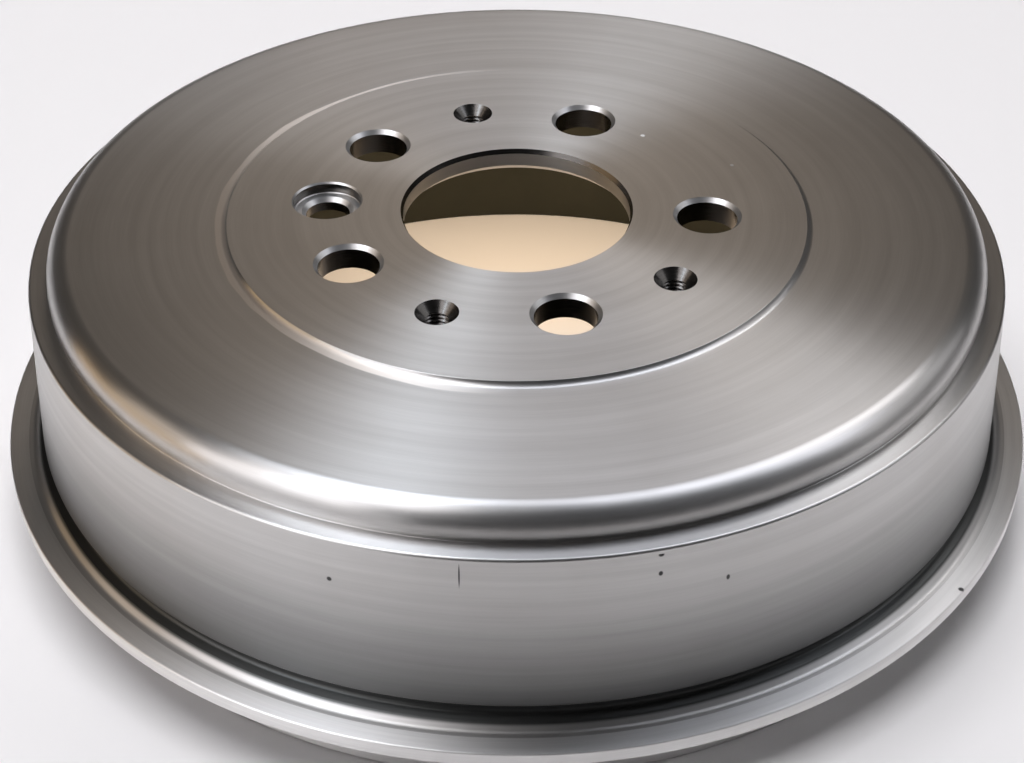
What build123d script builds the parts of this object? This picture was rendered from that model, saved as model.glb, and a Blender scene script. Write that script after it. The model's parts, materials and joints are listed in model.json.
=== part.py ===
from build123d import *
import os

os.makedirs("parts", exist_ok=True)

# Brake drum, cast in one piece and turned all over, standing on its open end.
# +Z points to the wheel side. The origin is on the axis, in the plane of the open end.
# All sizes are in millimetres and all angles in degrees.

# Overall height, from the open end to the wheel face
drum_height = 87.5

# Friction surface and the lip round the open end
friction_diameter = 270.0
friction_end_drop = 27.5
lip_wall = 7.0
open_end_break = 0.6

# Flange round the outside, above the lip
flange_height = 19.0
flange_thickness = 4.4
flange_width = 9.45
flange_edge_round = 0.5
flange_root_round = 2.0

# Bead and turned groove where the flange meets the wall
bead_offset = 1.1
bead_height = 1.7
bead_slope_width = 2.2
bead_round = 0.35
bead_root_round = 2.0
groove_width = 4.6
groove_depth = 1.9
groove_side_rise = 0.6
groove_corner_round = 1.1

# Outer wall, wider at its foot than under the ledge
foot_step = 3.3
foot_round = 0.4
wall_draft = 2.5

# Ledge below the crown, with a relief groove in its inner corner
ledge_drop = 10.5
ledge_width = 5.5
ledge_round = 0.8
relief_width = 1.9
relief_depth = 0.9
relief_side_rise = 0.5
relief_round = 0.45

# Crown: a straight foot above the relief groove, then the large rounding
crown_straight = 0.4
crown_wall = 8.3

# Raised wheel pad on the face: a sharp upper edge, a steep side and the tool's round run-out
pad_diameter = 170.0
pad_step = 1.3
pad_side_width = 0.7
pad_edge_round = 0.15
pad_foot_round = 1.9

# Hub plate, its centre bore and the shallow seat for the hub's flange under it
plate_thickness = 7.5
hub_bore_diameter = 67.0
hub_bore_edge_width = 0.7
hub_bore_edge_depth = 1.4
hub_bore_inner_chamfer = 2.0
hub_seat_diameter = 150.0
hub_seat_depth = 1.0

# Inside of the drum above the friction surface
cavity_corner_round = 6.0
cavity_step_rise = 4.0
cavity_step_round = 1.5

# Wheel-bolt holes, chamfered on the wheel side
pitch_circle_diameter = 112.0
wheel_hole_count = 5
wheel_hole_diameter = 17.7
wheel_hole_chamfer = 1.2
first_wheel_hole_angle = -4.2

# Countersunk holes for M8 puller screws, at the thread's core diameter
screw_circle_diameter = 116.0
screw_core_diameter = 6.8
screw_countersink_diameter = 12.3

# Stepped hole: a flat recess round a smaller through hole
stepped_circle_diameter = 112.6
recess_diameter = 20.0
recess_depth = 3.5
recess_break = 0.5
stepped_hole_diameter = 13.0
stepped_hole_chamfer = 1.2

# Every countersink and hole chamfer is at 45 degrees to its axis
chamfer_cone_angle = 90.0

# Radii, from the friction surface outwards
friction_radius = friction_diameter / 2
lip_radius = friction_radius + lip_wall
foot_radius = lip_radius + foot_step
groove_radius = foot_radius - groove_depth
bead_radius = foot_radius + bead_offset
bead_root_radius = bead_radius + bead_slope_width
flange_radius = bead_radius + flange_width

# Radii, from the outer wall inwards
ledge_radius = foot_radius - wall_draft
crown_radius = ledge_radius - ledge_width
relief_radius = crown_radius - relief_depth
cavity_radius = crown_radius - crown_wall
pad_radius = pad_diameter / 2
pad_foot_radius = pad_radius + pad_side_width
hub_seat_radius = hub_seat_diameter / 2
hub_bore_radius = hub_bore_diameter / 2
hub_bore_top_radius = hub_bore_radius + hub_bore_edge_width
hub_bore_inner_radius = hub_bore_radius + hub_bore_inner_chamfer

# Heights, from the open end upwards
flange_top = flange_height + flange_thickness
bead_top = flange_top + bead_height
foot_height = bead_top + groove_width
groove_low = bead_top + groove_side_rise
groove_high = foot_height - groove_side_rise

# Heights, from the wheel face downwards
hub_bore_top = drum_height - hub_bore_edge_depth
recess_floor = drum_height - recess_depth
face_height = drum_height - pad_step
ledge_height = drum_height - ledge_drop
crown_foot = ledge_height + relief_width
relief_high = crown_foot - relief_side_rise
crown_round = face_height - crown_foot - crown_straight
plate_underside = drum_height - plate_thickness
web_underside = plate_underside - hub_seat_depth
hub_bore_foot = plate_underside + hub_bore_inner_chamfer
friction_end = drum_height - friction_end_drop
cavity_step_top = friction_end + cavity_step_rise

# Angles of the small holes, each midway between two wheel-bolt holes
wheel_hole_step = 360 / wheel_hole_count
stepped_hole_angle = first_wheel_hole_angle + 2.5 * wheel_hole_step
screw_angles = [first_wheel_hole_angle + gap * wheel_hole_step for gap in (1.5, 3.5, 4.5)]


def round_corner(section, radius, height, size):
    """Round the corner of a section that lies at this radius and height."""
    corner = section.vertices().sort_by_distance((radius, height))[0]
    fillet(corner, radius=size)


def break_corner(section, radius, height, size):
    """Chamfer the corner of a section that lies at this radius and height."""
    corner = section.vertices().sort_by_distance((radius, height))[0]
    chamfer(corner, length=size)


with BuildPart() as brake_drum:

    # One closed section, X is the radius and Y the height, turned round the axis
    with BuildSketch(Plane.XZ) as turned_section:
        with BuildLine():
            # Wheel side: bore edge, pad, face and crown
            wheel_side = Polyline(
                (hub_bore_radius, hub_bore_top),
                (hub_bore_top_radius, drum_height),
                (pad_radius, drum_height),
                (pad_foot_radius, face_height),
                (crown_radius, face_height),
                (crown_radius, crown_foot),
            )
            # Ledge and outer wall, with a groove at the head and at the foot
            outer_wall = Polyline(
                wheel_side @ 1,
                (relief_radius, relief_high),
                (relief_radius, ledge_height),
                (ledge_radius, ledge_height),
                (foot_radius, foot_height),
                (groove_radius, groove_high),
                (groove_radius, groove_low),
                (bead_radius, bead_top),
            )
            # Flange and lip
            open_end = Polyline(
                outer_wall @ 1,
                (bead_root_radius, flange_top),
                (flange_radius, flange_top),
                (flange_radius, flange_height),
                (lip_radius, flange_height),
                (lip_radius, 0),
                (friction_radius, 0),
            )
            # Inside: friction surface, step, web, hub seat and bore
            Polyline(
                open_end @ 1,
                (friction_radius, friction_end),
                (cavity_radius, cavity_step_top),
                (cavity_radius, web_underside),
                (hub_seat_radius, web_underside),
                (hub_seat_radius, plate_underside),
                (hub_bore_inner_radius, plate_underside),
                (hub_bore_radius, hub_bore_foot),
                wheel_side @ 0,
            )
        make_face()

        # Upper edge and foot of the pad's side
        round_corner(turned_section, pad_radius, drum_height, pad_edge_round)
        round_corner(turned_section, pad_foot_radius, face_height, pad_foot_round)

        # Crown, relief groove and ledge
        round_corner(turned_section, crown_radius, face_height, crown_round)
        round_corner(turned_section, relief_radius, relief_high, relief_round)
        round_corner(turned_section, relief_radius, ledge_height, relief_round)
        round_corner(turned_section, ledge_radius, ledge_height, ledge_round)

        # Foot of the wall, groove and bead
        round_corner(turned_section, foot_radius, foot_height, foot_round)
        round_corner(turned_section, groove_radius, groove_high, groove_corner_round)
        round_corner(turned_section, groove_radius, groove_low, groove_corner_round)
        round_corner(turned_section, bead_radius, bead_top, bead_round)
        round_corner(turned_section, bead_root_radius, flange_top, bead_root_round)

        # Flange edges, flange root and the two edges of the open end
        round_corner(turned_section, flange_radius, flange_top, flange_edge_round)
        round_corner(turned_section, flange_radius, flange_height, flange_edge_round)
        round_corner(turned_section, lip_radius, flange_height, flange_root_round)
        break_corner(turned_section, lip_radius, 0, open_end_break)
        break_corner(turned_section, friction_radius, 0, open_end_break)

        # Step above the friction surface and the corner under the web
        round_corner(turned_section, friction_radius, friction_end, cavity_step_round)
        round_corner(turned_section, cavity_radius, cavity_step_top, cavity_step_round)
        round_corner(turned_section, cavity_radius, web_underside, cavity_corner_round)
    revolve(axis=Axis.Z)

    # Wheel-bolt holes
    with Locations(Plane.XY.offset(drum_height)):
        with PolarLocations(pitch_circle_diameter / 2, wheel_hole_count, first_wheel_hole_angle):
            CounterSinkHole(
                radius=wheel_hole_diameter / 2,
                counter_sink_radius=wheel_hole_diameter / 2 + wheel_hole_chamfer,
                counter_sink_angle=chamfer_cone_angle,
            )

    # Countersunk puller-screw holes in three of the gaps between them
    with Locations(Plane.XY.offset(drum_height)):
        for screw_angle in screw_angles:
            with PolarLocations(screw_circle_diameter / 2, 1, screw_angle):
                CounterSinkHole(
                    radius=screw_core_diameter / 2,
                    counter_sink_radius=screw_countersink_diameter / 2,
                    counter_sink_angle=chamfer_cone_angle,
                )

    # Recess of the stepped hole in the fourth gap, its upper edge just broken
    with Locations(Plane.XY.offset(drum_height)):
        with PolarLocations(stepped_circle_diameter / 2, 1, stepped_hole_angle):
            CounterSinkHole(
                radius=recess_diameter / 2,
                counter_sink_radius=recess_diameter / 2 + recess_break,
                depth=recess_depth,
                counter_sink_angle=chamfer_cone_angle,
            )

    # Through hole in the floor of that recess
    with Locations(Plane.XY.offset(recess_floor)):
        with PolarLocations(stepped_circle_diameter / 2, 1, stepped_hole_angle):
            CounterSinkHole(
                radius=stepped_hole_diameter / 2,
                counter_sink_radius=stepped_hole_diameter / 2 + stepped_hole_chamfer,
                counter_sink_angle=chamfer_cone_angle,
            )

brake_drum.part.label = "brake_drum"
export_step(brake_drum.part, "parts/brake_drum.step")
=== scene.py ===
import json
import math

import bpy
import numpy as np
from mathutils import Matrix, Vector
from mathutils.geometry import delaunay_2d_cdt


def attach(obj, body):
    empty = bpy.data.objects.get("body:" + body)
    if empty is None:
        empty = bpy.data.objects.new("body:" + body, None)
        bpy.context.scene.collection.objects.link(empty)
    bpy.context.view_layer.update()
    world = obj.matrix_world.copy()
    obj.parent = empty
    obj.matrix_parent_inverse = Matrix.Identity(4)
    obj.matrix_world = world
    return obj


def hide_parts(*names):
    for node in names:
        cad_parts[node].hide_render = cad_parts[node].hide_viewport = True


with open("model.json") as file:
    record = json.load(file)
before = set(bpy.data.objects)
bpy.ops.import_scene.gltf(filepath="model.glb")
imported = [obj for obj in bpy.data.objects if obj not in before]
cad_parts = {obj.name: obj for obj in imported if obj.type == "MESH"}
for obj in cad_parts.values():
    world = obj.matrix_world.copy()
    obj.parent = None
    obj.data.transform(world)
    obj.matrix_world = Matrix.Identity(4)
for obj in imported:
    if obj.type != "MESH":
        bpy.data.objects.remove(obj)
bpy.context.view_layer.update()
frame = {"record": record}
mounts = {mount["name"]: mount for mount in frame["record"]["mounts"]}

# A turned brake drum of grey iron, standing on its open end on a pale floor.
# Lengths of the drum are in millimetres up to the last step, where MM makes them metres.
MM = 0.001

# ---------------------------------------------------------------- drum sizes

DRUM_HEIGHT = 87.5

# Hub plate: bore, pad and the shallow seat under it
BORE_RADIUS = 33.5
BORE_EDGE_WIDTH = 0.7
BORE_EDGE_DEPTH = 1.4
BORE_INNER_CHAMFER = 2.0
PAD_RADIUS = 85.0
PAD_FOOT_RADIUS = 85.7
PAD_EDGE_ROUND = 0.15
PAD_FOOT_ROUND = 1.9
FACE_HEIGHT = 86.2
PLATE_UNDERSIDE = 80.0
SEAT_RADIUS = 75.0
WEB_UNDERSIDE = 79.0

# Crown, relief groove, ledge and outer wall
CROWN_RADIUS = 137.3
CROWN_ROUND = 6.9
CROWN_FOOT = 78.9
RELIEF_RADIUS = 136.4
RELIEF_TOP = 78.4
RELIEF_ROUND = 0.45
LEDGE_HEIGHT = 77.0
LEDGE_RADIUS = 142.8
LEDGE_ROUND = 0.8
FOOT_HEIGHT = 29.7
FOOT_RADIUS = 145.3
FOOT_ROUND = 0.4

# The wall's own material starts here, just below the ledge
WALL_TOP = 75.5
WALL_SLOPE = (FOOT_RADIUS - LEDGE_RADIUS) / (LEDGE_HEIGHT - FOOT_HEIGHT)
WALL_TOP_RADIUS = LEDGE_RADIUS + (LEDGE_HEIGHT - WALL_TOP) * WALL_SLOPE

# Groove, bead, flange and lip
GROOVE_RADIUS = 143.4
GROOVE_TOP = 29.1
GROOVE_BASE = 25.7
GROOVE_ROUND = 1.1
BEAD_RADIUS = 146.4
BEAD_TOP = 25.1
BEAD_ROUND = 0.35
BEAD_ROOT_RADIUS = 148.6
BEAD_ROOT_ROUND = 2.0
FLANGE_ROOT_RADIUS = 150.2
FLANGE_RADIUS = 155.85
FLANGE_TOP = 23.4
FLANGE_BASE = 19.0
FLANGE_ROUND = 0.5
LIP_RADIUS = 142.0
LIP_ROOT_ROUND = 2.0
OPEN_END_BREAK = 0.6

# Inside
FRICTION_RADIUS = 135.0
FRICTION_END = 60.0
STEP_TOP = 64.0
STEP_ROUND = 1.5
CAVITY_RADIUS = 129.0
CAVITY_ROUND = 6.0

# Holes. The first wheel hole's angle is in degrees, from +X
WHEEL_HOLE_ANGLE = -4.2
WHEEL_HOLE_CHAMFER = 1.2
COUNTERSINK_RADIUS = 6.15
COUNTERSINK_FOOT = 84.75
RECESS_FLOOR = 84.0
RECESS_BREAK = 0.5
RECESS_CORNER = 0.35
STEPPED_CHAMFER = 1.2

# Thread of the puller-screw holes: its flanks' steepness, its crest's flat and its run-out
THREAD_PITCH = 1.25
THREAD_DEPTH = 0.62
THREAD_FLANK = 1.25
THREAD_CREST = 0.12
THREAD_FADE = 0.45

# Fineness of the mesh
TURNS = 480
ARC_STEP = math.radians(9)
HOLE_STEPS = 96
SCREW_STEPS = 64
THREAD_ROWS = 44
FILL_TOLERANCE = 1e-6
SHARP_ANGLE = math.radians(24)
FACE_WEIGHT = 100

# A hole's wall is upright where its radius changes by less than this
UPRIGHT = 0.01

# Regions of the mesh, in the order of the drum's material slots
TURNED, WALL, FLANGE, DRILLED, BARREL, BORED, FRICTION, CAST = range(8)

# ---------------------------------------------------------------- material values

# Noises are (scale, detail, roughness). Tool marks are noise drawn out round the axis
ROUND_SHARE = 0.02
FINE_MARKS = (2600.0, 2.0, 0.6)
BROAD_MARKS = (330.0, 1.0, 0.5)
IRON_CLOUD = (26.0, 2.0, 0.6)
FINE_SHARE = 0.35
BROAD_SHARE = 0.65
MARK_RANGE = (0.3, 0.7)
DARK_MARK = 0.90
LIGHT_MARK = 1.06
GROOVE_RELIEF = 0.00012

# A quarter of a turn lays the highlight's stretch across the tool marks
ACROSS = 0.25

# Brown stain in the clouds, and the roughness that follows marks and clouds
STAIN_RANGE = (0.45, 0.8)
STAIN_COLOUR = (0.30, 0.25, 0.20, 1.0)
CLOUD_SHARE = 0.4
ROUGH_RANGE = (0.3, 1.1)
SMOOTHER = 0.015
ROUGHER = 0.02

# Iron's colours: the bright and the dull are its own, the pale one is painted light for the
# flange
BRIGHT_IRON = (0.62, 0.61, 0.60)
PAINTED_LIGHT_IRON = (0.86, 0.85, 0.84)
DULL_IRON = (0.50, 0.48, 0.45)

# Painted highlight in a band outside the pad, on the left, rougher there too, in metres
BAND_INNER = 0.0854
BAND_OUTER = 0.0884
BAND_EDGE = 0.0004
BAND_WANDER = 0.0006
BAND_WANDER_RANGE = (0.3, 0.7)
BAND_RIGHT_END = 0.0
BAND_LEFT_START = -0.04
BAND_STRENGTH = 0.9
LEFT_HIGHLIGHT_COLOUR = (0.86, 0.80, 0.74, 1.0)
BAND_ROUGHNESS = 0.16

# Painted shade on the wall, darker towards its foot and nearly black in the groove at its foot:
# (height, strength)
PAINTED_SHADE_COLOUR = (0.030, 0.034, 0.034, 1.0)
WALL_PAINTED_SHADE = [
    (20.0, 0.0), (24.4, 0.0), (24.9, 0.90), (28.8, 0.90), (29.3, 0.10),
    (30.0, 0.84), (45.0, 0.56), (62.0, 0.14), (72.0, 0.0),
]

# Marks as the photo shows them: angle, radius, height, and half sizes outwards, round and up.
# Each is full up to this share of its reach
MARK_CORE = 0.6
DARK_COLOUR = (0.06, 0.06, 0.06, 1.0)
SPECK_COLOUR = (0.95, 0.95, 0.95, 1.0)
SPECK_ROUGHNESS = 0.3
FACE_SPECKS = [(47.1, 57.7, 87.5, (0.8, 0.9, 1.0)), (20.4, 69.9, 87.5, (0.7, 0.8, 1.0))]
WALL_MARKS = [
    (-95.7, 143.1, 71.7, (1.5, 0.25, 4.3)),
    (-75.9, 143.0, 75.2, (1.5, 0.9, 0.7)),
    (-75.9, 143.3, 69.4, (1.5, 0.7, 0.9)),
    (-68.7, 143.6, 63.5, (1.5, 0.6, 1.0)),
    (-108.9, 143.5, 64.7, (1.5, 0.8, 0.8)),
]
FLANGE_MARKS = [(-37.9, 155.0, 23.4, (1.0, 0.9, 1.2))]

# Cut walls of the holes, with the drill's fine rings
DRILL_SHARE = 0.1
DRILL_RINGS = (3200.0, 3.0, 0.6)
DRILL_RANGE = (0.2, 0.8)
DRILL_VARIATION = 0.04
DRILL_RELIEF = 0.0001
# Chamfers and flats, painted light for the light they catch
LIT_EDGE_DARK = (0.58, 0.57, 0.56, 1.0)
LIT_EDGE_LIGHT = (0.78, 0.77, 0.76, 1.0)
# Upright hole walls, painted dark for the shade inside the holes
SHADED_BARREL_DARK = (0.10, 0.095, 0.09, 1.0)
SHADED_BARREL_LIGHT = (0.22, 0.21, 0.20, 1.0)

# Dark olive friction surface
FRICTION_CLOUD = (40.0, 4.0, 0.6)
FRICTION_MARKS = (1500.0, 3.0, 0.6)
FRICTION_DARK = (0.020, 0.020, 0.010, 1.0)
FRICTION_LIGHT = (0.045, 0.043, 0.026, 1.0)
FRICTION_ROUGHNESS = 0.55
FRICTION_METALLIC = 0.3
FRICTION_GROOVE = 0.2
FRICTION_RELIEF = 0.0001

# Sand-cast skin under the web
SAND = (1100.0, 4.0, 0.65)
SAND_PATCH = (60.0, 4.0, 0.6)
SAND_SHARE = 0.6
PATCH_SHARE = 0.4
SAND_RANGE = (0.3, 0.7)
SAND_DARK = (0.075, 0.070, 0.066, 1.0)
SAND_LIGHT = (0.17, 0.155, 0.14, 1.0)
SAND_ROUGHNESS = (0.52, 0.72)
SAND_METALLIC = 0.7
SAND_BUMP = 0.7
SAND_RELIEF = 0.0004

# Pale paper floor, in metres. In front of the drum it passes into painted shade
FLOOR_SIZE = 8.0
PAPER_CLOUD = (3.0, 1.0, 0.5)
PAPER_COLOUR = (0.87, 0.865, 0.875)
PAPER_DARKER = 0.985
PAPER_ROUGHNESS = 0.75
PAPER_END = -0.20
SHADE_END = -0.55
FRONT_PAINTED_SHADE = (0.30, 0.29, 0.29, 1.0)

# ---------------------------------------------------------------- lights and camera

# Tones of the room on its four sides, and where each blends in along an axis
ROOM_FRONT = (0.02, 0.02, 0.02, 1.0)
ROOM_SIDES = [
    ("Y", -0.4, 0.5, (0.06, 0.055, 0.05, 1.0)),
    ("X", -0.2, -0.9, (0.05, 0.045, 0.04, 1.0)),
    ("X", 0.2, 0.9, (0.04, 0.04, 0.04, 1.0)),
]

# Soft boxes stand this far from this spot, in metres. Degrees round the axis get narrower
# higher up, but never below this share
LAMP_AIM = (0.0, 0.0, 0.07)
LAMP_DISTANCE = 2.0
NARROWEST = 0.12

# Tones of the light
AMBER = (1.0, 0.7, 0.4)
WARM = (1.0, 0.84, 0.7)
CREAM = (1.0, 0.945, 0.925)
NEUTRAL = (1.0, 0.965, 0.98)
WHITE = (0.99, 0.98, 1.0)
COOL = (0.88, 0.91, 1.0)
SKY = (0.82, 0.90, 1.0)

# Every box is azimuth, elevation, width and height in degrees, then its strength and tone.
# These light the paper alone
PAPER_LIGHTS = {
    "paper_light_above": (-145, 82, 300, 43.6, 5.45, WHITE),
    "paper_light_behind": (90, 50, 43.7, 28.1, 2.7, CREAM),
}

# These are mirrored by the metal alone
SOFTBOXES = {
    # Dim sides near the floor, warm on the left
    "left_low": (-180, 9, 45, 18, 0.8, AMBER),
    "front_left_low": (-135, 9, 45, 18, 0.8, WHITE),
    "left_side": (-180, 30, 22, 24, 0.75, WARM),
    "front_left_side": (-146, 30, 45, 24, 1.9, NEUTRAL),
    "right_side": (11, 30, 45, 24, 0.6, WHITE),
    "back_side": (90, 30, 22, 24, 0.45, WARM),
    # The key light, narrow and bright, with a fainter box on either side
    "key": (-150, 57, 15, 30, 5.3, SKY),
    "beside_key_left": (-165, 57, 15, 30, 2.45, CREAM),
    "beside_key_front": (-127, 57, 30, 30, 1.7, NEUTRAL),
    # A row from the right round to the back
    "right": (7, 50, 30, 16, 2.0, COOL),
    "right_back": (52, 50, 30, 16, 3.1, WHITE),
    "right_high": (7, 65, 30, 14, 1.45, COOL),
    "right_back_high": (37, 65, 30, 14, 2.85, COOL),
    "back_high": (75, 65, 45, 14, 2.5, COOL),
    "second_key": (112, 65, 30, 14, 5.2, SKY),
    "beside_second_key": (135, 65, 15, 14, 3.3, COOL),
    "back_left_high": (157, 65, 30, 14, 1.35, WHITE),
    # Overhead
    "above_left": (-165, 77, 60, 10, 2.65, WHITE),
    "above_front": (-105, 77, 60, 10, 0.7, WHITE),
    "above_right": (15, 77, 60, 10, 1.9, COOL),
    "above_back": (75, 77, 60, 10, 2.4, COOL),
    "above_back_left": (135, 77, 60, 10, 4.1, COOL),
}

# The lamp under the hub plate, in metres and watts
INSIDE_LAMP_PLACE = (0.0, 0.085, 0.072)
INSIDE_LAMP_SIZE = (0.17, 0.07)
INSIDE_LAMP_POWER = 0.11
INSIDE_LAMP_COLOUR = (1.0, 0.77, 0.54)

# Camera, in metres, millimetres and degrees
CAMERA_PLACE = (-0.0014, -0.4945, 0.3956)
CAMERA_LENS = 69.29
CAMERA_SENSOR = 36.0
CAMERA_TILT = 53.03


# ---------------------------------------------------------------- mesh tools


def rounded(corners):
    """Points of a line whose corners (radius, height, rounding) are rounded."""
    points = [Vector(corners[0][:2])]
    for before, corner, after in zip(corners, corners[1:], corners[2:]):
        tip = Vector(corner[:2])
        if not corner[2]:
            points.append(tip)
            continue
        back = (Vector(before[:2]) - tip).normalized()
        ahead = (Vector(after[:2]) - tip).normalized()
        turn = math.pi - back.angle(ahead)
        start = tip + back * corner[2] * math.tan(turn / 2)
        end = tip + ahead * corner[2] * math.tan(turn / 2)
        centre = tip + (back + ahead).normalized() * corner[2] / math.cos(turn / 2)
        steps = max(2, math.ceil(turn / ARC_STEP))
        for index in range(steps + 1):
            arm = (start - centre).slerp(end - centre, index / steps)
            points.append(centre + arm * corner[2])
    points.append(Vector(corners[-1][:2]))
    return points


class Shell:
    """Gathers the points, faces and regions of one mesh, in millimetres."""

    def __init__(self):
        self.points = []
        self.faces = []
        self.regions = []

    def ring(self, centre, radius, height, count, wave=None):
        """Adds a circle of points and returns their indices."""
        first = len(self.points)
        for index in range(count):
            angle = 2 * math.pi * index / count
            reach = radius + (wave(angle) if wave else 0.0)
            x = centre[0] + reach * math.cos(angle)
            y = centre[1] + reach * math.sin(angle)
            self.points.append((x, y, height))
        return list(range(first, first + count))

    def band(self, upper, lower, region):
        """Joins two circles of points by a band of quads."""
        for here in range(len(upper)):
            there = (here + 1) % len(upper)
            self.faces.append((upper[there], upper[here], lower[here], lower[there]))
            self.regions.append(region)

    def spots(self, indices):
        """These points' places in plan."""
        return np.array([self.points[index][:2] for index in indices])

    def plate(self, outer, holes, region, up):
        """Fills the flat area between an outer circle of points and several inner ones."""
        indices = []
        edges = []
        for loop in [outer] + holes:
            first, count = len(indices), len(loop)
            edges += [(first + step, first + (step + 1) % count) for step in range(count)]
            indices += loop
        circles = []
        for loop in holes:
            corners = self.spots(loop)
            middle = corners.mean(0)
            circles.append((middle, np.linalg.norm(corners[0] - middle)))
        flat = [Vector(self.points[index][:2]) for index in indices]
        _, _, triangles, origins, _, _ = delaunay_2d_cdt(flat, edges, [], 0, FILL_TOLERANCE)
        for triangle in triangles:
            corners = [indices[origins[corner][0]] for corner in triangle]
            spots = self.spots(corners)
            middle = spots.mean(0)
            if any(np.linalg.norm(middle - spot) < radius for spot, radius in circles):
                continue
            (ax, ay), (bx, by), (cx, cy) = spots
            leftward = (bx - ax) * (cy - ay) - (by - ay) * (cx - ax) > 0
            if leftward != up:
                corners.reverse()
            self.faces.append(tuple(corners))
            self.regions.append(region)


def lathe(shell, points, region, first=None):
    """Turns a line of (radius, height) points round the axis. Returns its end circles."""
    rings = [first] if first else []
    for radius, height in points[len(rings):]:
        rings.append(shell.ring((0, 0), radius, height, TURNS))
    for upper, lower in zip(rings, rings[1:]):
        shell.band(upper, lower, region)
    return rings[0], rings[-1]


def hole(shell, centre, steps):
    """A hole of (radius, height) steps from the wheel side down. Returns its end circles."""
    rings = [shell.ring(centre, radius, height, HOLE_STEPS) for radius, height in steps]
    levels = list(zip(steps, rings))
    for (above, upper), (below, lower) in zip(levels, levels[1:]):
        upright = abs(above[0] - below[0]) < UPRIGHT
        # Upright walls take the painted shade, sloped chamfers and flats the painted light
        shell.band(lower, upper, BARREL if upright else DRILLED)
    return rings[0], rings[-1]


def centre_of(mount):
    """A mount's place in plan, in millimetres."""
    return mount["pos_m"][0] / MM, mount["pos_m"][1] / MM


def mesh_object(name, shell, materials):
    """Makes a smooth-shaded object in metres from a shell."""
    mesh = bpy.data.meshes.new(name)
    points = np.array(shell.points) * MM
    mesh.from_pydata(points.tolist(), [], shell.faces)
    for material in materials:
        mesh.materials.append(material)
    mesh.polygons.foreach_set("material_index", shell.regions)
    mesh.shade_smooth()
    mesh.set_sharp_from_angle(angle=SHARP_ANGLE)
    mesh.update()
    piece = bpy.data.objects.new(name, mesh)
    bpy.context.scene.collection.objects.link(piece)
    modifier = piece.modifiers.new("face_normals", "WEIGHTED_NORMAL")
    modifier.keep_sharp = True
    modifier.weight = FACE_WEIGHT
    return piece


# ---------------------------------------------------------------- parts of the drum


def face_and_crown(shell):
    """The pad's side, the face, the crown, the relief groove and the ledge."""
    points = rounded([
        (BORE_RADIUS + BORE_EDGE_WIDTH, DRUM_HEIGHT, 0),
        (PAD_RADIUS, DRUM_HEIGHT, PAD_EDGE_ROUND),
        (PAD_FOOT_RADIUS, FACE_HEIGHT, PAD_FOOT_ROUND),
        (CROWN_RADIUS, FACE_HEIGHT, CROWN_ROUND),
        (CROWN_RADIUS, CROWN_FOOT, 0),
        (RELIEF_RADIUS, RELIEF_TOP, RELIEF_ROUND),
        (RELIEF_RADIUS, LEDGE_HEIGHT, RELIEF_ROUND),
        (LEDGE_RADIUS, LEDGE_HEIGHT, LEDGE_ROUND),
        (WALL_TOP_RADIUS, WALL_TOP, 0),
    ])
    return lathe(shell, points[1:], TURNED)


def outer_wall(shell, first):
    """The wall below the ledge, the groove and the bead at its foot."""
    points = rounded([
        (WALL_TOP_RADIUS, WALL_TOP, 0),
        (FOOT_RADIUS, FOOT_HEIGHT, FOOT_ROUND),
        (GROOVE_RADIUS, GROOVE_TOP, GROOVE_ROUND),
        (GROOVE_RADIUS, GROOVE_BASE, GROOVE_ROUND),
        (BEAD_RADIUS, BEAD_TOP, BEAD_ROUND),
        (BEAD_ROOT_RADIUS, FLANGE_TOP, BEAD_ROOT_ROUND),
        (FLANGE_ROOT_RADIUS, FLANGE_TOP, 0),
    ])
    return lathe(shell, points, WALL, first)[1]


def flange_and_lip(shell, first):
    """The flange, and the lip below it down to the open end."""
    points = rounded([
        (FLANGE_ROOT_RADIUS, FLANGE_TOP, 0),
        (FLANGE_RADIUS, FLANGE_TOP, FLANGE_ROUND),
        (FLANGE_RADIUS, FLANGE_BASE, FLANGE_ROUND),
        (LIP_RADIUS, FLANGE_BASE, LIP_ROOT_ROUND),
        (LIP_RADIUS, OPEN_END_BREAK, 0),
        (LIP_RADIUS - OPEN_END_BREAK, 0, 0),
        (FRICTION_RADIUS + OPEN_END_BREAK, 0, 0),
    ])
    return lathe(shell, points, FLANGE, first)[1]


def friction_bore(shell, first):
    """The friction surface and the step above it."""
    points = rounded([
        (FRICTION_RADIUS + OPEN_END_BREAK, 0, 0),
        (FRICTION_RADIUS, OPEN_END_BREAK, 0),
        (FRICTION_RADIUS, FRICTION_END, STEP_ROUND),
        (CAVITY_RADIUS, STEP_TOP, STEP_ROUND),
        (CAVITY_RADIUS, WEB_UNDERSIDE - CAVITY_ROUND, 0),
    ])
    return lathe(shell, points, FRICTION, first)[1]


def web(shell, first):
    """The web's cast underside, out to its rounded corner."""
    points = rounded([
        (CAVITY_RADIUS, WEB_UNDERSIDE - CAVITY_ROUND, 0),
        (CAVITY_RADIUS, WEB_UNDERSIDE, CAVITY_ROUND),
        (SEAT_RADIUS, WEB_UNDERSIDE, 0),
    ])
    return lathe(shell, points, CAST, first)[1]


def hub_seat(shell, first):
    """The low wall round the hub's seat."""
    points = [(SEAT_RADIUS, WEB_UNDERSIDE), (SEAT_RADIUS, PLATE_UNDERSIDE)]
    return lathe(shell, points, BORED, first)[1]


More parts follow.
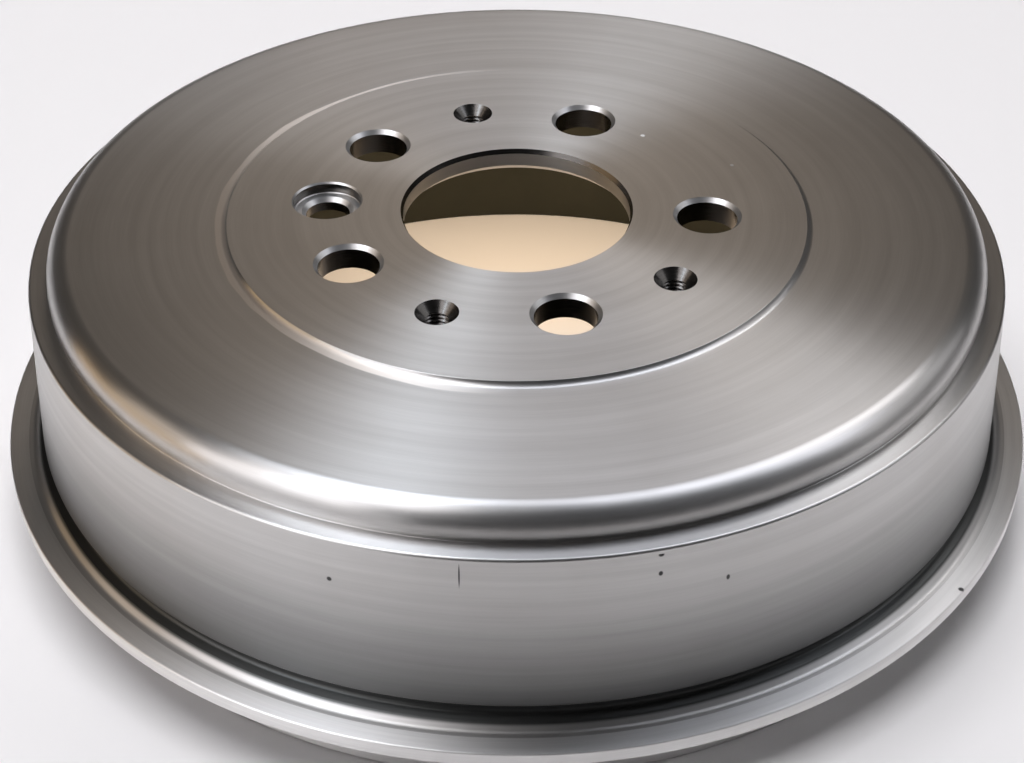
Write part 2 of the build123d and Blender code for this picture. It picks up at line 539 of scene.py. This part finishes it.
def centre_bore(shell):
    """The centre bore, from its inner chamfer up to its edge. Returns its end circles."""
    head = (BORE_RADIUS, DRUM_HEIGHT - BORE_EDGE_DEPTH)
    points = [
        (BORE_RADIUS + BORE_INNER_CHAMFER, PLATE_UNDERSIDE),
        (BORE_RADIUS, PLATE_UNDERSIDE + BORE_INNER_CHAMFER),
        head,
    ]
    foot, bore_head = lathe(shell, points, BORED)
    # The steep edge at the bore's top takes the painted shade of the hole walls
    edge = [head, (BORE_RADIUS + BORE_EDGE_WIDTH, DRUM_HEIGHT)]
    return lathe(shell, edge, BARREL, bore_head)[1], foot


def wheel_bolt_holes(shell):
    """Five chamfered holes on the wheel's pitch circle."""
    pattern = mounts["wheel_bolts"]["dims"]
    radius = pattern["hole_r_mm"]
    reach = pattern["pcd_mm"] / 2
    steps = [
        (radius + WHEEL_HOLE_CHAMFER, DRUM_HEIGHT),
        (radius, DRUM_HEIGHT - WHEEL_HOLE_CHAMFER),
        (radius, PLATE_UNDERSIDE),
    ]
    ends = []
    for index in range(pattern["count"]):
        angle = math.radians(WHEEL_HOLE_ANGLE + 360 / pattern["count"] * index)
        ends.append(hole(shell, (reach * math.cos(angle), reach * math.sin(angle)), steps))
    return ends


def thread_wave(height):
    """How far the thread's groove reaches outwards, by angle, at one height."""
    run_in = (COUNTERSINK_FOOT - height) / THREAD_FADE
    run_out = (height - PLATE_UNDERSIDE) / THREAD_FADE
    fade = min(1.0, run_in, run_out)

    def wave(angle):
        phase = (height / THREAD_PITCH - angle / (2 * math.pi)) % 1.0
        ramp = THREAD_FLANK * abs(2 * phase - 1) - THREAD_CREST
        return THREAD_DEPTH * fade * min(1.0, max(0.0, ramp))

    return wave


def puller_screw_hole(shell, mount):
    """A countersunk hole with a thread below its cone. Returns its end circles."""
    centre = centre_of(mount)
    rings = [shell.ring(centre, COUNTERSINK_RADIUS, DRUM_HEIGHT, SCREW_STEPS)]
    for row in range(THREAD_ROWS + 1):
        share = row / THREAD_ROWS
        height = COUNTERSINK_FOOT + (PLATE_UNDERSIDE - COUNTERSINK_FOOT) * share
        wave = thread_wave(height)
        rings.append(shell.ring(centre, mount["dims"]["r_mm"], height, SCREW_STEPS, wave))
    for upper, lower in zip(rings, rings[1:]):
        # Cone and thread take the painted shade of the hole walls
        shell.band(lower, upper, BARREL)
    return rings[0], rings[-1]


def stepped_hole(shell):
    """A flat recess round a smaller through hole. Returns its end circles."""
    recess = mounts["recess"]["dims"]["r_mm"]
    through = mounts["stepped_hole"]["dims"]["r_mm"]
    steps = rounded([
        (recess + RECESS_BREAK, DRUM_HEIGHT, 0),
        (recess, DRUM_HEIGHT - RECESS_BREAK, 0),
        (recess, RECESS_FLOOR, RECESS_CORNER),
        (through + STEPPED_CHAMFER, RECESS_FLOOR, 0),
        (through, RECESS_FLOOR - STEPPED_CHAMFER, 0),
        (through, PLATE_UNDERSIDE, 0),
    ])
    return hole(shell, centre_of(mounts["recess"]), steps)


def drum_mesh():
    """The whole drum as one closed mesh."""
    shell = Shell()
    pad_edge, wall_top = face_and_crown(shell)
    flange_root = outer_wall(shell, wall_top)
    open_edge = flange_and_lip(shell, flange_root)
    cavity_edge = friction_bore(shell, open_edge)
    seat_edge = web(shell, cavity_edge)
    seat_root = hub_seat(shell, seat_edge)
    ends = [centre_bore(shell)] + wheel_bolt_holes(shell)
    for name, mount in mounts.items():
        if name.startswith("puller_screw"):
            ends.append(puller_screw_hole(shell, mount))
    ends.append(stepped_hole(shell))

    # The pad's flat top and the plate's underside are filled round the holes
    shell.plate(pad_edge, [top for top, _ in ends], TURNED, up=True)
    shell.plate(seat_root, [foot for _, foot in ends], BORED, up=False)
    return shell


# ---------------------------------------------------------------- material tools


class Nodes:
    """Short calls to build one node tree."""

    def __init__(self, tree):
        self.tree = tree

    def add(self, kind, inputs=None, **settings):
        node = self.tree.nodes.new(kind)
        for key, value in settings.items():
            setattr(node, key, value)
        for key, value in (inputs or {}).items():
            socket = node.inputs[key]
            if isinstance(value, bpy.types.NodeSocket):
                self.tree.links.new(value, socket)
            else:
                socket.default_value = value
        return node

    def place(self):
        return self.add("ShaderNodeTexCoord").outputs["Object"]

    def split(self, vector):
        return self.add("ShaderNodeSeparateXYZ", {0: vector}).outputs

    def math(self, operation, *values):
        inputs = dict(enumerate(values))
        return self.add("ShaderNodeMath", inputs, operation=operation).outputs[0]

    def blend(self, first, first_share, second, second_share):
        first_part = self.math("MULTIPLY", first, first_share)
        second_part = self.math("MULTIPLY", second, second_share)
        return self.math("ADD", first_part, second_part)

    def remap(self, value, low, high, to_low=0.0, to_high=1.0):
        inputs = {0: value, 1: low, 2: high, 3: to_low, 4: to_high}
        return self.add("ShaderNodeMapRange", inputs, clamp=True).outputs[0]

    def mix(self, factor, dark, light):
        node = self.add("ShaderNodeMix", {0: factor, 6: dark, 7: light}, data_type="RGBA")
        return node.outputs[2]

    def noise(self, vector, scale, detail, roughness):
        inputs = {"Vector": vector, "Scale": scale, "Detail": detail, "Roughness": roughness}
        return self.add("ShaderNodeTexNoise", inputs, noise_dimensions="3D").outputs["Fac"]

    def bump(self, height, strength, relief):
        inputs = {"Height": height, "Strength": strength, "Distance": relief}
        return self.add("ShaderNodeBump", inputs).outputs[0]


class Material(Nodes):
    """Short calls to build one material."""

    def __init__(self, name):
        self.material = bpy.data.materials.new(name)
        self.material.use_nodes = True
        super().__init__(self.material.node_tree)
        self.tree.nodes.clear()

    def finish(self, inputs):
        """Adds the shader with these inputs, and returns the material."""
        shader = self.add("ShaderNodeBsdfPrincipled", inputs)
        self.add("ShaderNodeOutputMaterial", {"Surface": shader.outputs[0]})
        return self.material


def tinted(colour, share):
    """A colour made lighter or darker by this share."""
    return tuple(channel * share for channel in colour) + (1.0,)


def radius_of(nodes, x, y):
    """Distance from the drum's axis."""
    x_square, y_square = nodes.math("MULTIPLY", x, x), nodes.math("MULTIPLY", y, y)
    return nodes.math("SQRT", nodes.math("ADD", x_square, y_square))


def drawn_out(nodes, x, y, share, along):
    """Coordinates in which noise runs in rings, and changes along the section."""
    inputs = {0: nodes.math("MULTIPLY", x, share), 1: nodes.math("MULTIPLY", y, share), 2: along}
    return nodes.add("ShaderNodeCombineXYZ", inputs).outputs[0]


def mark_mask(nodes, place, marks):
    """Where small marks lie: each is (angle, radius, height) and its half sizes."""
    mask = 0.0
    for angle, radius, height, half in marks:
        turn = math.radians(angle)
        centre = Vector((radius * math.cos(turn), radius * math.sin(turn), height)) * MM
        inputs = {
            "Vector": place,
            "Location": centre,
            "Rotation": (0.0, 0.0, turn),
            "Scale": Vector(half) * MM,
        }
        inside = nodes.add("ShaderNodeMapping", inputs, vector_type="TEXTURE").outputs[0]
        length = nodes.add("ShaderNodeVectorMath", {0: inside}, operation="LENGTH")
        spot = nodes.remap(length.outputs["Value"], MARK_CORE, 1.0, 1.0, 0.0)
        mask = nodes.math("MAXIMUM", spot, mask)
    return mask


def height_mask(nodes, z, steps):
    """A mask by height, from (height in millimetres, strength) steps."""
    low, high = steps[0][0], steps[-1][0]
    ramp = nodes.add("ShaderNodeValToRGB", {"Fac": nodes.remap(z, low * MM, high * MM)})
    stops = ramp.color_ramp.elements
    while len(stops) < len(steps):
        stops.new(0.5)
    for stop, (height, strength) in zip(stops, steps):
        stop.position = (height - low) / (high - low)
        stop.color = (strength, strength, strength, 1.0)
    return ramp.outputs["Color"]


# ---------------------------------------------------------------- materials


class TurnedIron(Material):
    """Grey iron with the fine concentric marks of a lathe tool."""

    def __init__(self, name, base, rough, stain):
        super().__init__(name)
        self.at = self.place()
        self.x, y, self.z = self.split(self.at)
        self.radius = radius_of(self, self.x, y)
        along = self.math("SUBTRACT", self.radius, self.z)
        tool = drawn_out(self, self.x, y, ROUND_SHARE, along)
        self.fine = self.noise(tool, *FINE_MARKS)
        broad = self.noise(tool, *BROAD_MARKS)
        self.cloud = self.noise(self.at, *IRON_CLOUD)
        shade = self.blend(self.fine, FINE_SHARE, broad, BROAD_SHARE)
        marks = self.remap(shade, *MARK_RANGE)
        colour = self.mix(marks, tinted(base, DARK_MARK), tinted(base, LIGHT_MARK))
        stained = self.remap(self.cloud, *STAIN_RANGE, 0.0, stain)
        self.colour = self.mix(stained, colour, STAIN_COLOUR)
        clouded = self.math("ADD", shade, self.math("MULTIPLY", self.cloud, CLOUD_SHARE))
        self.roughness = self.remap(clouded, *ROUGH_RANGE, rough - SMOOTHER, rough + ROUGHER)

    def paint_shade(self, film):
        """Painted shade by height."""
        self.colour = self.mix(height_mask(self, self.z, film), self.colour, PAINTED_SHADE_COLOUR)

    def paint_left_highlight(self):
        """A painted highlight in a band outside the pad, on the left, rougher there too."""
        wander = self.remap(self.cloud, *BAND_WANDER_RANGE, -BAND_WANDER, BAND_WANDER)
        edge = self.math("ADD", self.radius, wander)
        inner = self.remap(edge, BAND_INNER, BAND_INNER + BAND_EDGE, 0.0, 1.0)
        outer = self.remap(edge, BAND_OUTER, BAND_OUTER + BAND_EDGE, 1.0, 0.0)
        left = self.remap(self.x, BAND_RIGHT_END, BAND_LEFT_START, 0.0, BAND_STRENGTH)
        highlighted = self.math("MULTIPLY", self.math("MULTIPLY", inner, outer), left)
        # Painted highlight, on the left side only
        self.colour = self.mix(highlighted, self.colour, LEFT_HIGHLIGHT_COLOUR)
        self.roughen(highlighted, BAND_ROUGHNESS)

    def roughen(self, mask, amount):
        """Makes the surface rougher where the mask lies."""
        self.roughness = self.math("ADD", self.roughness, self.math("MULTIPLY", mask, amount))

    def darken(self, marks):
        """Small dark marks."""
        self.colour = self.mix(mark_mask(self, self.at, marks), self.colour, DARK_COLOUR)

    def speck(self, marks):
        """Small pale specks."""
        spots = mark_mask(self, self.at, marks)
        self.colour = self.mix(spots, self.colour, SPECK_COLOUR)
        self.roughen(spots, SPECK_ROUGHNESS)

    def brushed(self, anisotropy, groove=0.0):
        """Adds the shader, whose highlights run across the marks. Returns the material."""
        tangent = self.add("ShaderNodeTangent", direction_type="RADIAL", axis="Z")
        inputs = {
            "Base Color": self.colour,
            "Roughness": self.roughness,
            "Metallic": 1.0,
            "Anisotropic": anisotropy,
            "Anisotropic Rotation": ACROSS,
            "Tangent": tangent.outputs[0],
        }
        if groove:
            inputs["Normal"] = self.bump(self.fine, groove, GROOVE_RELIEF)
        return self.finish(inputs)


def turned_iron():
    """Wheel side: smoothly turned, with a painted highlight in a band on the left and two pale
    specks.
    """
    iron = TurnedIron("turned_iron", BRIGHT_IRON, rough=0.29, stain=0.12)
    # Painted highlight: the lighter band outside the pad, on the left only
    iron.paint_left_highlight()
    iron.speck(FACE_SPECKS)
    return iron.brushed(anisotropy=0.90)


def wall_iron():
    """Outer wall, with painted shade towards its foot and in the groove, and a few dark marks.
    """
    iron = TurnedIron("wall_iron", BRIGHT_IRON, rough=0.34, stain=0.12)
    # Painted shade: darker towards the foot, nearly black in the groove
    iron.paint_shade(WALL_PAINTED_SHADE)
    iron.darken(WALL_MARKS)
    return iron.brushed(anisotropy=0.85, groove=0.05)


def flange_iron():
    """Flange and lip, painted paler for the light on the flange, with a nick on the flange's
    edge.
    """
    # Painted light: the flange's iron is paler than the rest
    iron = TurnedIron("flange_iron", PAINTED_LIGHT_IRON, rough=0.40, stain=0.12)
    iron.darken(FLANGE_MARKS)
    return iron.brushed(anisotropy=0.90, groove=0.05)


def bored_iron():
    """Centre bore, hub seat and the plate's underside, turned more coarsely."""
    iron = TurnedIron("bored_iron", DULL_IRON, rough=0.36, stain=0.25)
    return iron.brushed(anisotropy=0.8, groove=0.15)


def cut_iron(name, dark, light, rough, feed):
    """Iron cut by a drill, with fine rings as deep as its feed."""
    nodes = Material(name)
    x, y, z = nodes.split(nodes.place())
    rings = nodes.noise(drawn_out(nodes, x, y, DRILL_SHARE, z), *DRILL_RINGS)
    smoother, rougher = rough - DRILL_VARIATION, rough + DRILL_VARIATION
    return nodes.finish({
        "Base Color": nodes.mix(rings, dark, light),
        "Roughness": nodes.remap(rings, *DRILL_RANGE, smoother, rougher),
        "Metallic": 1.0,
        "Normal": nodes.bump(rings, feed, DRILL_RELIEF),
    })


def drilled_iron():
    """Chamfers and flats of the holes, painted bright for the light they catch."""
    return cut_iron("drilled_iron", LIT_EDGE_DARK, LIT_EDGE_LIGHT, rough=0.34, feed=0.1)


def barrel_iron():
    """Upright walls of the holes, painted dark for the shade inside them."""
    return cut_iron("barrel_iron", SHADED_BARREL_DARK, SHADED_BARREL_LIGHT, rough=0.22, feed=0.2)


def friction_skin():
    """The friction surface, dark olive."""
    nodes = Material("friction_skin")
    place = nodes.place()
    x, y, z = nodes.split(place)
    along = nodes.math("SUBTRACT", radius_of(nodes, x, y), z)
    marks = nodes.noise(drawn_out(nodes, x, y, ROUND_SHARE, along), *FRICTION_MARKS)
    cloud = nodes.noise(place, *FRICTION_CLOUD)
    return nodes.finish({
        "Base Color": nodes.mix(cloud, FRICTION_DARK, FRICTION_LIGHT),
        "Roughness": FRICTION_ROUGHNESS,
        "Metallic": FRICTION_METALLIC,
        "Normal": nodes.bump(marks, FRICTION_GROOVE, FRICTION_RELIEF),
    })


def cast_skin():
    """Sand-cast iron left rough under the web."""
    nodes = Material("cast_skin")
    place = nodes.place()
    sand = nodes.noise(place, *SAND)
    shade = nodes.blend(sand, SAND_SHARE, nodes.noise(place, *SAND_PATCH), PATCH_SHARE)
    return nodes.finish({
        "Base Color": nodes.mix(nodes.remap(shade, *SAND_RANGE), SAND_DARK, SAND_LIGHT),
        "Roughness": nodes.remap(shade, *SAND_RANGE, *SAND_ROUGHNESS),
        "Metallic": SAND_METALLIC,
        "Normal": nodes.bump(sand, SAND_BUMP, SAND_RELIEF),
    })


def floor_paper():
    """Pale paper with a hint of cloud, and painted shade in front."""
    nodes = Material("floor_paper")
    place = nodes.place()
    cloud = nodes.noise(place, *PAPER_CLOUD)
    tone = nodes.mix(cloud, tinted(PAPER_COLOUR, PAPER_DARKER), tinted(PAPER_COLOUR, 1.0))
    # Painted shade on the paper in front of the drum
    shade = nodes.remap(nodes.split(place)["Y"], PAPER_END, SHADE_END)
    tone = nodes.mix(shade, tone, FRONT_PAINTED_SHADE)
    return nodes.finish({"Base Color": tone, "Roughness": PAPER_ROUGHNESS})


# ---------------------------------------------------------------- stage, lights, camera


def camera():
    """The camera at the photo's viewing angle."""
    data = bpy.data.cameras.new("camera")
    data.lens = CAMERA_LENS
    data.sensor_width = CAMERA_SENSOR
    piece = bpy.data.objects.new("camera", data)
    piece.location = CAMERA_PLACE
    piece.rotation_euler = (math.radians(CAMERA_TILT), 0.0, 0.0)
    bpy.context.scene.collection.objects.link(piece)
    bpy.context.scene.camera = piece


def floor():
    """A wide square floor at the drum's foot."""
    mesh = bpy.data.meshes.new("floor")
    half = FLOOR_SIZE / 2
    corners = [(-half, -half, 0), (half, -half, 0), (half, half, 0), (-half, half, 0)]
    mesh.from_pydata(corners, [], [(0, 1, 2, 3)])
    mesh.materials.append(floor_paper())
    piece = bpy.data.objects.new("floor", mesh)
    bpy.context.scene.collection.objects.link(piece)


def surroundings():
    """A dim plain room, with its own tone on each side."""
    world = bpy.data.worlds.new("room")
    world.use_nodes = True
    nodes = Nodes(world.node_tree)
    sides = nodes.split(nodes.add("ShaderNodeTexCoord").outputs["Generated"])
    tone = ROOM_FRONT
    for axis, start, end, side_tone in ROOM_SIDES:
        inputs = {"Value": sides[axis], "From Min": start, "From Max": end}
        ramp = nodes.add("ShaderNodeMapRange", inputs, interpolation_type="SMOOTHSTEP")
        tone = nodes.mix(ramp.outputs[0], tone, side_tone)
    background = world.node_tree.nodes["Background"]
    world.node_tree.links.new(tone, background.inputs["Color"])
    bpy.context.scene.world = world


def softbox(name, box, on_metal, on_paper):
    """A soft box, placed and sized as it is seen from the drum."""
    azimuth, elevation, width, height, strength, tone = box
    turn, rise = math.radians(azimuth), math.radians(elevation)
    level = math.cos(rise)
    ahead = Vector((math.cos(turn) * level, math.sin(turn) * level, math.sin(rise)))
    half_width = math.radians(width) / 2 * max(NARROWEST, level)
    light = bpy.data.lights.new(name, "AREA")
    light.shape = "RECTANGLE"
    light.size = 2 * LAMP_DISTANCE * math.tan(half_width)
    light.size_y = 2 * LAMP_DISTANCE * math.tan(math.radians(height) / 2)
    light.energy = math.pi * light.size * light.size_y * strength
    light.color = tone
    piece = bpy.data.objects.new(name, light)
    piece.location = Vector(LAMP_AIM) + ahead * LAMP_DISTANCE
    side = Vector((-math.sin(turn), math.cos(turn), 0.0))
    axes = Matrix((side, ahead.cross(side), ahead)).transposed()
    piece.rotation_mode = "QUATERNION"
    piece.rotation_quaternion = axes.to_quaternion()
    piece.visible_glossy = on_metal
    piece.visible_diffuse = on_paper
    bpy.context.scene.collection.objects.link(piece)


def inside_lamp():
    """Warm light on the paper inside the drum, as it falls in through the bore."""
    light = bpy.data.lights.new("inside_lamp", "AREA")
    light.shape = "RECTANGLE"
    light.size, light.size_y = INSIDE_LAMP_SIZE
    light.energy = INSIDE_LAMP_POWER
    light.color = INSIDE_LAMP_COLOUR
    piece = bpy.data.objects.new("inside_lamp", light)
    piece.location = INSIDE_LAMP_PLACE
    piece.visible_camera = False
    piece.visible_glossy = False
    bpy.context.scene.collection.objects.link(piece)


def lights():
    """Light for the paper alone, then the soft boxes that only the metal mirrors."""
    for name, box in PAPER_LIGHTS.items():
        softbox(name, box, on_metal=False, on_paper=True)
    inside_lamp()
    for name, box in SOFTBOXES.items():
        softbox(name, box, on_metal=True, on_paper=False)


# ---------------------------------------------------------------- scene

camera()
floor()
surroundings()
bpy.context.scene.view_settings.view_transform = "Standard"
lights()

# One material for each region of the mesh, in the regions' order
slots = [
    turned_iron(),
    wall_iron(),
    flange_iron(),
    drilled_iron(),
    barrel_iron(),
    bored_iron(),
    friction_skin(),
    cast_skin(),
]
drum = mesh_object("brake_drum_turned", drum_mesh(), slots)
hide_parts("brake_drum")
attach(drum, "root")
